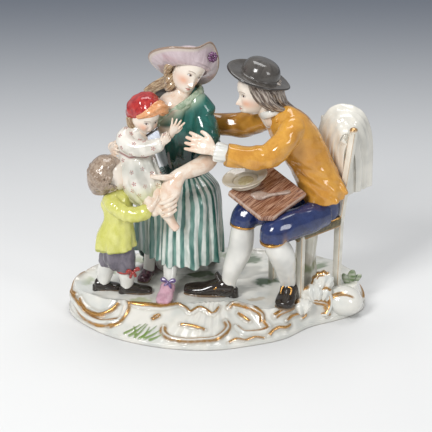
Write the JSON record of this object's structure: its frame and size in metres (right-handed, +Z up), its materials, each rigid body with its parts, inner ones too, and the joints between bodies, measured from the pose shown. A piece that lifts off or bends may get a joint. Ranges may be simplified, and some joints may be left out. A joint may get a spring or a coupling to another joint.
{
  "type": "porcelain figure group",
  "caption": "Glazed porcelain group of a standing mother with two children and a seated father, on one gilded rocaille base",
  "frame": {"origin": "middle of the base's flat underside", "axes": "+Z up; +X to the viewer's right along the base's length; the group faces -Y"},
  "size_m": [0.1693, 0.102, 0.1564],
  "materials": {
    "glazed_porcelain": "white hard-paste porcelain under clear glaze, painted in enamel colours and gilded"
  },
  "bodies": {
    "root": {"figure_group": "glazed_porcelain"}
  },
  "joints": []
}
